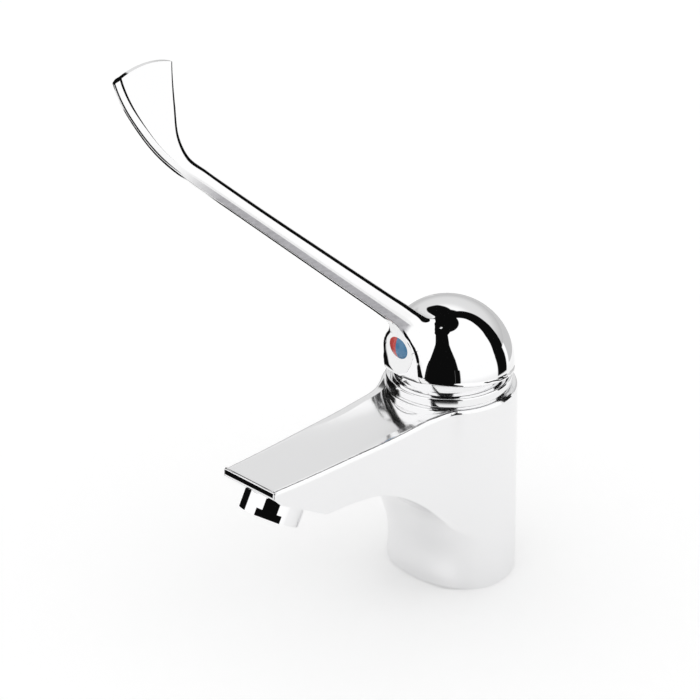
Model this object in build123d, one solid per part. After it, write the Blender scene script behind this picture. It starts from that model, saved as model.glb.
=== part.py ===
# Single-hole basin tap worked by a long elbow lever.
# Frame: origin on the deck plane at the axis of the cartridge, +Z up, spout towards -Y,
# lever lifted to full flow. All lengths are in millimetres.
import os
from math import atan2, cos, degrees, pi, radians, sin, sqrt, tan

from build123d import *

# Column and foot of the casting
column_r = 27.0
foot_front = 19.0
hollow_r = 19.4
hollow_y = 4.0
hollow_z = 34.0
foot_groove_w = 1.5
foot_groove_in = 20.3
foot_groove_d = 1.8

# Head of the casting
body_top = 82.0
flange_r = 25.5
flange_t = 3.7
neck_r = 24.9
neck_sweep = 2.5
rim_round = 1.6
groove_t = 0.7
groove_r = 24.2

# Spout
spout_reach = 107.2
nose_half = 14.3
nose_top = 77.0
nose_t = 3.4
nose_lip_y = 104.0
throat_half = 17.2
throat_y = 31.0
flare_r = 22.0
chin_y = 80.5
chin_z = 57.8
rim_rise_y = 14.0
trough_nose_half = 12.4
trough_throat_half = 15.0
trough_nose_sag = 0.25
trough_mid_sag = 0.9
trough_neck_sag = 4.0
trough_end_y = 16.0
water_r = 3.6
water_drop = 8.0
water_knee_y = 24.0
water_knee_z = 48.0
water_bend_y = 44.0
water_bend_z = 61.5
water_end_z = 68.6

# Threads in the casting, as their plain bores
inlet_x = 6.8
inlet_y = 5.4
inlet_thread_r = 5.0
inlet_thread_l = 8.0
inlet_port_r = 2.2
stud_y = 16.0
stud_thread_r = 4.0
stud_thread_l = 12.0

# Cartridge, 35 mm type
chamber_r = 17.5
chamber_z = 54.0
seat_z = 72.0
nut_bore_r = 20.0
cartridge_base_h = 5.5
upstand_h = 2.0
port_seal_w = 1.7
port_seal_t = 1.4
outlet_port_r = 3.6
outlet_port_y = 5.0
pin_r = 1.4
pin_l = 2.0
pin_x = 13.0
fixed_disc_r = 14.4
fixed_disc_t = 3.5
moving_disc_r = 12.6
moving_disc_t = 3.4
disc_gap = 0.04
disc_pocket_r = 7.6
disc_pocket_d = 1.4
carrier_t = 7.6
carrier_floor = 1.7
slot_gap = 0.3
housing_wall = 2.0
housing_flange_t = 3.0
housing_step_r = 16.8
housing_roof_t = 3.0
housing_top = 80.0
housing_groove_z = 64.0
housing_seal_d = 1.8
nut_top = 84.6
nut_key_w = 4.0
nut_key_d = 2.4
stop_ring_t = 2.4
stop_lug_deg = 8.0
notch_d = 1.2
turn_half_deg = 50.0
stop_spare_deg = 1.5

# Turning stem guide
pivot_z = 91.7
neck_gap = 0.2
turret_flange_t = 2.2
turret_neck_r = 11.3
turret_neck_top = 82.8
cheek_top_r = 4.3
cheek_x = 10.3
cheek_half_y = 6.0
stem_slot_x = 4.6
stem_slot_y = 6.4
pivot_pin_r = 2.0
pin_running = 0.05

# Stem
stem_side_gap = 0.4
stem_half_y = 3.8
stem_lower = 6.0
stem_upper = 17.5
stem_arm = 20.0
stem_rod_r = 2.5
stem_ball_r = 2.8

# Trim ring and collar
trim_ring_r = 25.0
trim_ring_top = 86.2
trim_bore_r = 22.0
trim_round = 0.5
collar_ball_r = 23.3
collar_wall = 1.8
collar_top = 97.0

# Lever: dome, prow, bar and paddle
dome_r = 25.2
dome_long_r = 27.2
dome_wall = 1.5
dome_gap = 0.35
dome_rim_z = 89.9
lip_r = 26.0
lip_t = 1.3
cavity_top_r = 22.0
cavity_step = 9.6
button_y = 27.6
tip_rise = 2.6
boss_wall = 2.0
boss_x = 7.0
boss_y = 6.6
boss_foot = 8.6
boss_sink = 0.5
prow_half = 10.5
prow_face_y = 27.9
prow_foot_z = 96.6
prow_crown = 1.5
prow_round = 3.0
bar_root_y = 18.0
bar_half = 4.7
bar_height = 8.0
paddle_w = 28.5
lever_reach = 158.3
lever_rise = 266.7
bar_start_z = 112.0
crown_r = 34.0

# Marker button and clamping screw
button_r = 5.15
button_z = 106.0
button_pocket = 2.0
button_dome = 1.8
screw_r = 2.5
screw_l = 9.0
screw_key_r = 1.4
screw_key_d = 2.5

# Aerator
aerator_r = 12.15
aerator_l = 8.1
aerator_bore_r = 9.9
spigot_r = 10.5
spigot_l = 4.3
flat_half = 11.0
flat_l = 3.1
aerator_lip_t = 1.0
insert_l = 8.5
insert_wall = 1.0
insert_floor = 2.0
insert_hole_r = 0.9
insert_ring_r = 6.6
screen_t = 0.8
screen_hole_r = 1.1
screen_pitch_r = 3.2
washer_t = 1.0
washer_w = 2.0

# Lever attitude in degrees
lift_deg = 14.0
dome_lean_deg = 45.0
face_lean_deg = 5.0
flat_turn_deg = 51.0

# Overrun of every cut
over = 1.0

# Arch under the spout: forward share from foot to chin, height share of the chin, squareness
arch_shares = [
    (0.000, 0.000, 2.05),
    (0.016, 0.208, 2.10),
    (0.049, 0.415, 2.30),
    (0.098, 0.571, 2.60),
    (0.154, 0.671, 3.00),
    (0.228, 0.758, 3.60),
    (0.341, 0.856, 4.60),
    (0.439, 0.922, 6.00),
    (0.537, 0.965, 8.00),
    (0.764, 1.000, 9.00),
]

# Top edge of the spout: forward share from rise to nose, drop share
rim_shares = [(0.00, 0.00), (0.09, 0.28), (0.19, 0.48), (0.30, 0.64), (0.52, 0.80), (1.00, 1.00)]

# Centre line of the straight bar and of the paddle above it: reach share, rise share, path angle in degrees,
# depth share of the bar, half width share of the bar
bar_shares = [
    (-0.050, -0.041, 42.0, 1.02, 1.02),
    (0.075, 0.0614, 42.0, 1.00, 1.00),
    (0.442, 0.362, 42.0, 0.93, 0.94),
    (0.727, 0.595, 42.2, 0.85, 0.86),
]
paddle_shares = [
    (0.727, 0.595, 42.2, 0.85, 0.86),
    (0.814, 0.667, 46.0, 0.86, 0.80),
    (0.878, 0.724, 53.0, 0.90, 0.66),
    (0.921, 0.782, 62.0, 1.38, 0.50),
    (0.954, 0.857, 69.0, 2.23, 0.40),
    (1.000, 1.000, 83.0, 3.56, 0.32),
    (1.006, 1.040, 86.0, 3.80, 0.31),
]

# Six sided section of the bar: height share of its side ridge, width share of its top and foot
ridge_share = 0.10
crest_share = 0.42

# Place of the aerator on the outlet face, from chin to lip
outlet_share = 0.55

# Prow from its foot up: height share, width share, shares of the face's distance ahead
# of the axis for its front and its back
prow_shares = [
    (0.00, 0.98, 0.950, 0.30),
    (0.24, 1.00, 0.995, 0.30),
    (0.80, 1.00, 1.000, 0.32),
    (1.15, 0.78, 1.085, 0.50),
    (1.62, 0.58, 1.210, 0.86),
]

# Derived places
half_lift = lift_deg / 2
outlet_deg = degrees(atan2(nose_top - nose_t - chin_z - (spout_reach - nose_lip_y), nose_lip_y - chin_y))
base_top = chamber_z + cartridge_base_h
fixed_top = base_top + fixed_disc_t
carrier_z = fixed_top + disc_gap + moving_disc_t
disc_y = -stem_arm * sin(radians(half_lift))
pivot = (0, 0, pivot_z)
spigot_top = spigot_l - washer_t


def post(radius, low, high, x=0, y=0):
    # Upright cylinder from one height to another.
    return Pos(x, y, (low + high) / 2) * Cylinder(radius, high - low)


def ring(outer, inner, low, high, x=0, y=0):
    # Upright tube from one height to another.
    return post(outer, low, high, x, y) - post(inner, low - over, high + over, x, y)


def block(x0, x1, y0, y1, z0, z1):
    # Upright box between two corners.
    place = Pos((x0 + x1) / 2, (y0 + y1) / 2, (z0 + z1) / 2)
    return place * Box(abs(x1 - x0), abs(y1 - y0), abs(z1 - z0))


def tilted(origin, lean):
    # Frame at a point of the middle plane, its Z leaning back by an angle in degrees.
    return Location(origin, (-lean, 0, 0))


def rod(start, end, radius):
    # Round bar between two points.
    a = Vector(*start)
    b = Vector(*end)
    plane = Plane(origin=a, z_dir=b - a)
    return extrude(plane * Circle(radius), (b - a).length)


def side_slab(edges, half):
    # Outline in the middle plane thickened to both sides.
    return extrude(make_face(edges), half, both=True)


# Body


def plan_outline():
    # Seen from above: round back, hollow flares and a spout that narrows to the nose.
    slope = atan2(throat_half - nose_half, spout_reach - throat_y)
    foot = Vector(throat_half, -throat_y)
    centre = foot + Vector(cos(slope), -sin(slope)) * flare_r
    reach = column_r + flare_r
    lift = sqrt(reach ** 2 - centre.X ** 2)
    centre = Vector(centre.X, -lift)
    foot = centre - Vector(cos(slope), -sin(slope)) * flare_r
    touch = centre * (column_r / reach)
    turn = (touch - centre).normalized() + (foot - centre).normalized()
    middle = centre + turn.normalized() * flare_r
    left = [Vector(-p.X, p.Y) for p in (touch, middle, foot)]
    edges = [
        ThreePointArc(touch, (0, column_r), left[0]),
        ThreePointArc(left[0], left[1], left[2]),
        Line(left[2], (-nose_half, -spout_reach)),
        Line((-nose_half, -spout_reach), (nose_half, -spout_reach)),
        Line((nose_half, -spout_reach), foot),
        ThreePointArc(foot, middle, touch),
    ]
    return make_face(edges)


def rim_z(forward):
    # Height of the spout's top edge at a distance ahead of the axis.
    share = (forward - rim_rise_y) / (spout_reach - rim_rise_y)
    for (s0, d0), (s1, d1) in zip(rim_shares, rim_shares[1:]):
        if share <= s1:
            drop = d0 + (d1 - d0) * max(share - s0, 0) / (s1 - s0)
            return body_top - drop * (body_top - nose_top)
    return nose_top


def upper_outline():
    # Side view of the head and the spout.
    run = spout_reach - rim_rise_y
    fall = body_top - nose_top
    rim = [(0, -rim_rise_y - s * run, body_top - d * fall) for s, d in rim_shares]
    nose_foot = (0, -spout_reach, nose_top - nose_t)
    lip = (0, -nose_lip_y, nose_top - nose_t - (spout_reach - nose_lip_y))
    chin = (0, -chin_y, chin_z)
    back = column_r + over
    return [
        Line((0, back, chin_z), (0, back, body_top)),
        Line((0, back, body_top), rim[0]),
        Spline(*rim, tangents=[(0, -1, 0), (0, -1, 0)]),
        Line(rim[-1], nose_foot),
        Line(nose_foot, lip),
        Line(lip, chin),
        Line(chin, (0, back, chin_z)),
    ]


def column_section(front, height, square):
    # Right half of a section: a quarter circle behind the axis, a squared quarter ellipse ahead.
    count = 6
    points = []
    for i in range(count + 1):
        angle = pi / 2 * i / count
        c = round(cos(angle), 9) ** (2 / square)
        s = round(sin(angle), 9) ** (2 / square)
        points.append((column_r * c, -front * s))
    nose = Spline(*points, tangents=[(0, -1), (-1, 0)])
    back = RadiusArc((0, column_r), (column_r, 0), column_r)
    middle = Line((0, -front), (0, column_r))
    return Pos(0, 0, height) * make_face([nose, middle, back])


def column():
    # Column whose front leans into the arch under the spout.
    reach = chin_y - foot_front
    sections = [column_section(foot_front + s * reach, h * chin_z, q) for s, h, q in arch_shares]
    right = loft(sections)
    return right + mirror(right, about=Plane.YZ)


def trough():
    # Shallow dish of the spout's top, flat at the nose and deeper in front of the neck.
    stations = [
        (spout_reach + over, trough_nose_half, trough_nose_sag),
        ((spout_reach + trough_end_y) / 2, (trough_nose_half + trough_throat_half) / 2, trough_mid_sag),
        (trough_end_y, trough_throat_half, trough_neck_sag),
    ]
    faces = []
    for forward, half, sag in stations:
        top = rim_z(forward)
        plane = Plane(origin=(0, -forward, top), x_dir=(1, 0, 0), z_dir=(0, -1, 0))
        lid = flange_t
        edges = [
            ThreePointArc((-half, 0), (0, -sag), (half, 0)),
            Line((half, 0), (half, lid)),
            Line((half, lid), (-half, lid)),
            Line((-half, lid), (-half, 0)),
        ]
        faces.append(plane * make_face(edges))
    return loft(faces)


def neck():
    # Round neck with its flange, swept out into the spout's top.
    high = body_top - flange_t
    low = high - neck_sweep
    skirt = post(neck_r + neck_sweep, low, high)
    skirt -= Pos(0, 0, high) * Torus(neck_r + neck_sweep, neck_sweep)
    flange = post(flange_r, body_top - flange_t, body_top)
    return skirt + post(neck_r, chin_z, body_top) + flange


def waterways():
    # Chamber, ports, threads, foot hollow and the passage to the aerator.
    cuts = post(chamber_r, chamber_z, body_top + over)
    cuts += post(nut_bore_r, seat_z, body_top + over)
    cuts += post(hollow_r, -over, hollow_z, 0, hollow_y)
    for side in (-1, 1):
        x = side * inlet_x
        cuts += post(inlet_thread_r, hollow_z - over, hollow_z + inlet_thread_l, x, -inlet_y)
        cuts += post(inlet_port_r, hollow_z, chamber_z + over, x, -inlet_y)
        cuts += post(pin_r, chamber_z - pin_l, chamber_z + over, side * pin_x)
    cuts += post(stud_thread_r, hollow_z - over, hollow_z + stud_thread_l, 0, stud_y)
    route = [
        (0, outlet_port_y, chamber_z - water_drop),
        (0, -water_knee_y, water_knee_z),
        (0, -water_bend_y, water_bend_z),
        (0, -outlet_y() + spigot_l, water_end_z),
    ]
    cuts += post(outlet_port_r, chamber_z - water_drop, chamber_z + over, 0, outlet_port_y)
    for start, end in zip(route, route[1:]):
        cuts += rod(start, end, water_r)
    for point in route:
        cuts += Pos(*point) * Sphere(water_r)
    cuts += outlet_place() * post(spigot_r, 0, spigot_l)
    cuts += ring(foot_groove_in + foot_groove_w, foot_groove_in, -over, foot_groove_d, 0, foot_seal_y())
    return cuts


def foot_seal_y():
    # The seal is set back so that it stays under the foot.
    return (column_r - foot_front) / 2


def outlet_y():
    # The aerator stands in the middle of the outlet face.
    return chin_y + (nose_lip_y - chin_y) * outlet_share


def outlet_place():
    # Frame on the outlet face, its Z along the aerator into the spout.
    rise = (outlet_y() - chin_y) * tan(radians(outlet_deg))
    return tilted((0, -outlet_y(), chin_z + rise), outlet_deg)


def tap_body():
    plan = extrude(plan_outline(), body_top + over)
    head = side_slab(upper_outline(), column_r + over) & plan
    head = fillet(rim_edges(head), rim_round)
    body = (column() & plan) + head
    body = body - trough() + (neck() & plan)
    groove = ring(flange_r + over, groove_r, body_top - groove_t / 2, body_top + over)
    return body - groove - waterways()


def rim_edges(head):
    # Edges round the top of the head, except the nose.
    lowest = nose_top - nose_t / 2
    picked = []
    for edge in head.edges():
        box = edge.bounding_box()
        across = abs(box.max.Y - box.min.Y)
        if box.min.Z > lowest and across > nose_t:
            picked.append(edge)
    return picked


# Cartridge


def cartridge_seal_rings():
    # Three port seals under the cartridge base.
    rings = []
    for x, y, port in port_places():
        low = chamber_z
        rings.append(ring(port + port_seal_w, port, low, low + port_seal_t, x, y))
    return rings


def port_places():
    # Both inlets and the outlet, each with its radius.
    sides = [(side * inlet_x, -inlet_y, inlet_port_r) for side in (-1, 1)]
    return sides + [(0, outlet_port_y, outlet_port_r)]


def cartridge_base():
    rim = base_top + upstand_h
    base = post(chamber_r, chamber_z, base_top)
    base += ring(chamber_r - housing_wall, fixed_disc_r, base_top - over, rim)
    for side in (-1, 1):
        base += post(pin_r, chamber_z - pin_l, chamber_z + over, side * pin_x)
    for x, y, port in port_places():
        base -= post(port, chamber_z - over, rim + over, x, y)
        base -= post(port + port_seal_w, chamber_z - over, chamber_z + port_seal_t, x, y)
    return base


def port_seals():
    return Compound(children=cartridge_seal_rings())


def fixed_disc():
    disc = post(fixed_disc_r, base_top, fixed_top)
    for x, y, port in port_places():
        disc -= post(port, base_top - over, fixed_top + over, x, y)
    return disc


def moving_disc():
    low = fixed_top + disc_gap
    disc = post(moving_disc_r, low, carrier_z, 0, disc_y)
    return disc - post(disc_pocket_r, low - over, low + disc_pocket_d, 0, disc_y)


def disc_carrier():
    # Carries the moving disc and takes the ball of the stem in a slot.
    top = carrier_z + carrier_t
    reach = stem_ball_r + slot_gap
    carrier = post(moving_disc_r, carrier_z, top, 0, disc_y)
    floor = carrier_z + carrier_floor
    return carrier - block(-reach, reach, disc_y - reach, disc_y + reach, floor, top + over)


def cartridge_housing():
    top = seat_z + housing_flange_t
    inner = chamber_r - housing_wall
    housing = post(chamber_r, base_top, seat_z + over)
    housing += post(nut_bore_r - neck_gap, seat_z, top)
    housing += post(housing_step_r, top - over, housing_top)
    housing -= post(inner, base_top - over, housing_top - housing_roof_t)
    housing -= post(turret_neck_r + neck_gap, seat_z, housing_top + over)
    low = housing_groove_z
    cut = ring(chamber_r + over, chamber_r - housing_seal_d / 2, low, low + housing_seal_d)
    return housing - cut


def housing_seal():
    low = housing_groove_z
    return ring(chamber_r, chamber_r - housing_seal_d / 2, low, low + housing_seal_d)


def retaining_nut():
    low = seat_z + housing_flange_t
    nut = ring(nut_bore_r, housing_step_r, low, nut_top)
    for i in range(4):
        key = block(-nut_key_w / 2, nut_key_w / 2, 0, nut_bore_r + over, nut_top - nut_key_d, nut_top + over)
        nut -= Rot(0, 0, 45 + 90 * i) * key
    return nut


def stop_ring():
    # Its lug stands in the notch of the turning neck.
    top = housing_top + stop_ring_t
    outer = ring(housing_step_r - neck_gap, turret_neck_r + neck_gap, housing_top, top)
    lug = sector(turret_neck_r + notch_d, stop_lug_deg, housing_top, top)
    lug -= post(notch_r() + neck_gap, housing_top - over, top + over)
    return outer + lug


def notch_r():
    # Radius at the bottom of the notch in the turning neck.
    return turret_neck_r - notch_d


def sector(radius, half_deg, low, high):
    # Slice of a disc, centred behind the axis.
    a = radians(half_deg)
    right = (radius * sin(a), radius * cos(a))
    left = (-right[0], right[1])
    rim = ThreePointArc(right, (0, radius), left)
    face = make_face([Line((0, 0), right), rim, Line(left, (0, 0))])
    return extrude(Pos(0, 0, low) * face, high - low)


# Turning stem guide


def stem_turret():
    # Flange under the housing roof, notched neck and two cheeks for the pivot pin.
    flange_top = housing_top - housing_roof_t - neck_gap
    neck_low = flange_top - turret_flange_t
    turret = post(chamber_r - housing_wall - neck_gap, neck_low, flange_top)
    turret += post(turret_neck_r, flange_top - over, turret_neck_top)
    cheek_top = pivot_z + cheek_top_r
    x = cheek_x
    y = cheek_half_y
    turret += block(-x, x, -y, y, turret_neck_top - over, cheek_top) & post(turret_neck_r, neck_low, cheek_top)
    turret -= block(-stem_slot_x, stem_slot_x, -stem_slot_y, stem_slot_y, neck_low - over, cheek_top + over)
    turret -= rod((-x - over, 0, pivot_z), (x + over, 0, pivot_z), pivot_pin_r)
    low = housing_top - neck_gap
    high = housing_top + stop_ring_t + neck_gap
    notch = sector(turret_neck_r + over, turn_half_deg + stop_lug_deg + stop_spare_deg, low, high)
    turret -= notch - post(notch_r(), low - over, high + over)
    return turret


def pivot_pin():
    reach = cheek_x - neck_gap
    return rod((-reach, 0, pivot_z), (reach, 0, pivot_z), pivot_pin_r)


# Trim


def trim_ring():
    trim = ring(trim_ring_r, trim_bore_r, body_top, trim_ring_top)
    trim -= ring(trim_ring_r + over, groove_r, body_top - over, body_top + groove_t / 2)
    return fillet(trim.edges().filter_by(GeomType.CIRCLE).sort_by(Axis.Z)[-1:], trim_round)


def cover_collar():
    # Ball shaped collar on which the dome seems to swivel.
    low = trim_ring_top
    ball = Pos(*pivot) * Sphere(collar_ball_r)
    shell = (ball & post(collar_ball_r + over, low, collar_top)) - Pos(*pivot) * Sphere(collar_ball_r - collar_wall)
    foot = ring(trim_bore_r, nut_bore_r, body_top, low + over)
    return (shell + (foot & (ball + post(trim_bore_r, body_top, low)))) - post(nut_bore_r, body_top - over, low + over)


# Stem


def stem_frame():
    # Frame at the pivot, its Z along the stem.
    return tilted(pivot, half_lift)


def lever_stem():
    # Square bar on the pivot with a ball below it.
    x = stem_slot_x - stem_side_gap
    y = stem_half_y
    bar = block(-x, x, -y, y, -stem_lower, stem_upper)
    bar += post(stem_rod_r, -stem_arm, -stem_lower + over)
    bar += Pos(0, 0, -stem_arm) * Sphere(stem_ball_r)
    stem = stem_frame() * bar
    return stem - rod((-x - over, 0, pivot_z), (x + over, 0, pivot_z), pivot_pin_r + pin_running)


# Lever


def rim_frame():
    # Frame of the dome's lower rim, its Z square to the rim.
    return tilted((0, 0, dome_rim_z), half_lift)


def dome_shape():
    # Egg shaped dome leaning towards the bar.
    half = make_face([
        EllipticalCenterArc((0, 0), dome_r, dome_long_r, -90, arc_size=180),
        Line((0, dome_long_r), (0, -dome_long_r)),
    ])
    egg = revolve(half, Axis.Y, 360)
    return Pos(*pivot) * (Rot(-dome_lean_deg, 0, 0) * egg)


def prow():
    # Wedge on the front of the dome that carries the marker button.
    return loft([prow_section(*station) for station in prow_shares])


def prow_section(height, wide, push, back):
    # Level section of the prow: crowned face, round corners and straight sides.
    half = prow_half * wide
    front = -prow_face_y * push
    edge = front + prow_crown
    rear = -prow_face_y * back
    outline = [
        ThreePointArc((-half, edge), (0, front), (half, edge)),
        Line((half, edge), (half, rear)),
        Line((half, rear), (-half, rear)),
        Line((-half, rear), (-half, edge)),
    ]
    face = make_face(outline)
    corners = face.vertices().sort_by(Axis.Y)[:2]
    rise = bar_start_z - prow_foot_z
    return Pos(0, 0, prow_foot_z + rise * height) * fillet(corners, prow_round * wide)


def bar_section(reach, rise, path_deg, deep, wide):
    # Six-sided section square to the path of the bar.
    y = -bar_root_y - reach * (lever_reach - bar_root_y)
    z = bar_start_z + rise * (lever_rise - bar_start_z)
    height = bar_height * deep
    half = bar_half * wide
    t = radians(path_deg)
    plane = Plane(origin=(0, y, z), x_dir=(1, 0, 0), z_dir=(0, -cos(t), sin(t)))
    top = height / 2
    ridge = height * ridge_share
    crest = half * crest_share
    points = [(crest, -top), (half, -ridge), (crest, top), (-crest, top), (-half, -ridge), (-crest, -top)]
    return plane * make_face(Polyline(*points, close=True))


def bar():
    # Straight bar that bends up and flattens into an upright paddle.
    straight = [bar_section(*station) for station in bar_shares]
    bent = [bar_section(*station) for station in paddle_shares]
    return loft(straight, ruled=True) + loft(bent)


def elbow_lever():
    # Dome, prow, bar and paddle as one casting, hollow over the collar.
    rim = rim_frame()
    shape = dome_shape() + prow() + bar()
    band = rim * ring(lip_r, dome_r - dome_wall, 0, lip_t)
    shape = shape + band
    below = rim * post(4 * dome_r, -4 * dome_r, 0)
    shape = shape - below - cavity() + boss()
    shape -= stem_frame() * block(*both(stem_slot_x - stem_side_gap), *both(stem_half_y), 0, stem_upper)
    shape -= rod(screw_start(), button_centre(), screw_r)
    shape -= button_frame() * post(button_r, -button_pocket, 2 * button_pocket)
    return trim_tip(shape)


def both(half):
    # The two limits of a width laid about the middle.
    return (-half, half)


def trim_tip(shape):
    # Round off the end of the paddle with a shallow crown.
    w = paddle_w
    low = lever_rise - w / 4
    crown_z = lever_rise - crown_r + tip_rise
    cap = block(-w, w, -lever_reach - w, -lever_reach + w, low, lever_rise + crown_r)
    return shape - (cap - rod((-w, -lever_reach, crown_z), (w, -lever_reach, crown_z), crown_r))


def boss():
    # Block under the crown that clamps the stem, with a web to the prow for the screw.
    socket = stem_frame() * block(*both(boss_x), *both(boss_y), boss_foot, cavity_top_r)
    web = stem_frame() * block(*both(screw_r + boss_wall), -cavity_top_r, 0, boss_foot, cavity_top_r)
    core = Pos(*pivot) * Sphere(cavity_top_r + boss_sink)
    return (socket + web) & core


def button_centre():
    # Middle of the marker button's seat on the prow.
    return (0, -button_y, button_z)


def button_frame():
    # Frame on the prow's face, its Z along the button out of the face.
    return Location(button_centre(), (90 + face_lean_deg, 0, 0))


def screw_start():
    # Point where the clamping screw meets the front of the stem.
    lean = radians(half_lift)
    up = screw_z()
    return (0, up * sin(lean) - stem_half_y * cos(lean), pivot_z + up * cos(lean) + stem_half_y * sin(lean))


def screw_z():
    # Height of the screw along the stem, on the line through the button's middle.
    lean = radians(half_lift)
    return (button_z - pivot_z) * cos(lean) - button_y * sin(lean)


def clamp_screw():
    start = Vector(*screw_start())
    way = (Vector(*button_centre()) - start).normalized()
    end = start + way * screw_l
    screw = rod(start, end, screw_r)
    socket = Plane(origin=end, z_dir=-way) * RegularPolygon(screw_key_r, 6)
    return screw - extrude(socket, screw_key_d)


def marker_half(side):
    # One colour of the two-colour marker button.
    plug = post(button_r, -button_pocket, 0)
    ball_r = (button_r ** 2 + button_dome ** 2) / (2 * button_dome)
    cap = Pos(0, 0, button_dome - ball_r) * Sphere(ball_r)
    plug += cap & post(button_r, -button_pocket, button_dome)
    half = block(0, side * 2 * button_r, *both(2 * button_r), -2 * button_r, 2 * button_r)
    return button_frame() * (plug & half)


def hot_marker():
    return marker_half(-1)


def cold_marker():
    return marker_half(1)


# Aerator


def aerator_housing():
    # Round ring with wrench flats, screwed into the spout.
    place = outlet_place()
    body = post(aerator_r, -aerator_l, 0)
    low = -aerator_l - over
    for i in range(2):
        side = block(flat_half, 2 * aerator_r, *both(2 * aerator_r), low, flat_l - aerator_l)
        body -= Rot(0, 0, 180 * i - flat_turn_deg) * side
    body += post(spigot_r, -over, spigot_top)
    body -= post(aerator_bore_r, low, spigot_top + over)
    body += ring(flat_half, aerator_bore_r - insert_wall, -aerator_l, aerator_lip_t - aerator_l)
    return place * body


def aerator_washer():
    return outlet_place() * ring(spigot_r, spigot_r - washer_w, spigot_top, spigot_l)


def aerator_insert():
    # Nozzle cup with two rings of jets.
    top = spigot_top
    cup = post(aerator_bore_r, top - insert_l, top)
    cup -= post(aerator_bore_r - insert_wall, top - insert_l - over, top - insert_floor)
    for count, radius in ((6, insert_ring_r / 2), (12, insert_ring_r)):
        for i in range(count):
            a = 2 * pi * i / count
            cup -= post(insert_hole_r, top - insert_l, top + over, radius * cos(a), radius * sin(a))
    return outlet_place() * cup


def aerator_screen():
    low = spigot_top - insert_l
    plate = post(aerator_bore_r - insert_wall, low, low + screen_t)
    for i in (-2, -1, 0, 1, 2):
        for j in (-2, -1, 0, 1, 2):
            x = i * screen_pitch_r
            y = j * screen_pitch_r
            if sqrt(x ** 2 + y ** 2) < aerator_bore_r - insert_wall - 2 * screen_hole_r:
                plate -= post(screen_hole_r, low - over, low + over + screen_t, x, y)
    return outlet_place() * plate


def base_seal():
    return ring(foot_groove_in + foot_groove_w, foot_groove_in, 0, foot_groove_d, 0, foot_seal_y())


def cavity():
    # Hollow of the dome: a ball round the collar and a smaller one above it.
    ball = Pos(*pivot) * Sphere(collar_ball_r + dome_gap)
    lid = tilted(pivot, half_lift) * post(2 * dome_r, -2 * dome_r, cavity_step)
    return (ball & lid) + Pos(*pivot) * Sphere(cavity_top_r)


makers = [
    tap_body,
    base_seal,
    cartridge_base,
    port_seals,
    fixed_disc,
    moving_disc,
    disc_carrier,
    cartridge_housing,
    housing_seal,
    retaining_nut,
    stop_ring,
    stem_turret,
    pivot_pin,
    trim_ring,
    cover_collar,
    lever_stem,
    elbow_lever,
    clamp_screw,
    hot_marker,
    cold_marker,
    aerator_housing,
    aerator_washer,
    aerator_insert,
    aerator_screen,
]

os.makedirs("parts", exist_ok=True)
for make in makers:
    export_step(make(), f"parts/{make.__name__}.step")
    print(make.__name__)
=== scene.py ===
# Elbow lever tap in polished chrome: camera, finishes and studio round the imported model, and the
# rounded surfaces of its lever head, neck rings and spout edge
import math

import bpy
import numpy as np
from mathutils import Matrix


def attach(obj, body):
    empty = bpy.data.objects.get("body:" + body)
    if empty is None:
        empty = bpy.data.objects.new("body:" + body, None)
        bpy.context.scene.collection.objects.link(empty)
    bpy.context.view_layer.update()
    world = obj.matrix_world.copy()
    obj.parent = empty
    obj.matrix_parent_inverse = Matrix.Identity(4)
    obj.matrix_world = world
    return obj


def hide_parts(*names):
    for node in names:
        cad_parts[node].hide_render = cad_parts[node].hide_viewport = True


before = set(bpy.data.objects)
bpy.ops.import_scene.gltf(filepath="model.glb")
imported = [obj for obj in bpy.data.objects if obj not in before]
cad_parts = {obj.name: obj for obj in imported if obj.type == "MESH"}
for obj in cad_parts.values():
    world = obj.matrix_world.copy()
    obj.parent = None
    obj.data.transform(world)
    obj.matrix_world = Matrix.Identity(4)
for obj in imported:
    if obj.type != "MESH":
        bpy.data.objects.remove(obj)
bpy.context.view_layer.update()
print("frame loaded,", len(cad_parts), "nodes")

mm = 0.001

# The photograph's camera: turned right of the spout, looking down, long lens
camera = {
    "azimuthDeg": 46.5,
    "elevationDeg": 27.5,
    "distance": 2500 * mm,
    "focalPixels": 6241.5,
    "framePixels": 700,
    "sensor": 36.0,
    "aimRight": -39.06 * mm,
    "aimUp": 84.31 * mm,
    "clipStart": 0.1,
    "clipEnd": 30.0,
}


def buildCamera():
    # Stands back from the aim point along the view direction, with no shift.
    a = math.radians(camera["azimuthDeg"])
    e = math.radians(camera["elevationDeg"])
    right = np.array([math.cos(a), math.sin(a), 0.0])
    back = np.array([math.sin(a) * math.cos(e), -math.cos(a) * math.cos(e), math.sin(e)])
    up = np.cross(back, right)
    place = right * camera["aimRight"] + up * camera["aimUp"] + back * camera["distance"]
    data = bpy.data.cameras.new("photoCamera")
    data.sensor_fit = "HORIZONTAL"
    data.sensor_width = camera["sensor"]
    data.lens = camera["focalPixels"] * camera["sensor"] / camera["framePixels"]
    data.clip_start = camera["clipStart"]
    data.clip_end = camera["clipEnd"]
    eye = bpy.data.objects.new("photoCamera", data)
    bpy.context.scene.collection.objects.link(eye)
    turn = np.eye(4)
    turn[:3, 0], turn[:3, 1], turn[:3, 2], turn[:3, 3] = right, up, back, place
    eye.matrix_world = Matrix(turn.tolist())
    bpy.context.scene.camera = eye


# Node helpers, for the finishes and the studio


def newMaterial(name):
    # Empty node material with its output and tree.
    material = bpy.data.materials.new(name)
    material.use_nodes = True
    tree = material.node_tree
    tree.nodes.clear()
    out = tree.nodes.new("ShaderNodeOutputMaterial")
    return material, tree, out


def maths(tree, operation, *values):
    # One math step whose inputs are sockets or numbers.
    step = tree.nodes.new("ShaderNodeMath")
    step.operation = operation
    for i, value in enumerate(values):
        if isinstance(value, (int, float)):
            step.inputs[i].default_value = value
        else:
            tree.links.new(value, step.inputs[i])
    return step.outputs[0]


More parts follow.
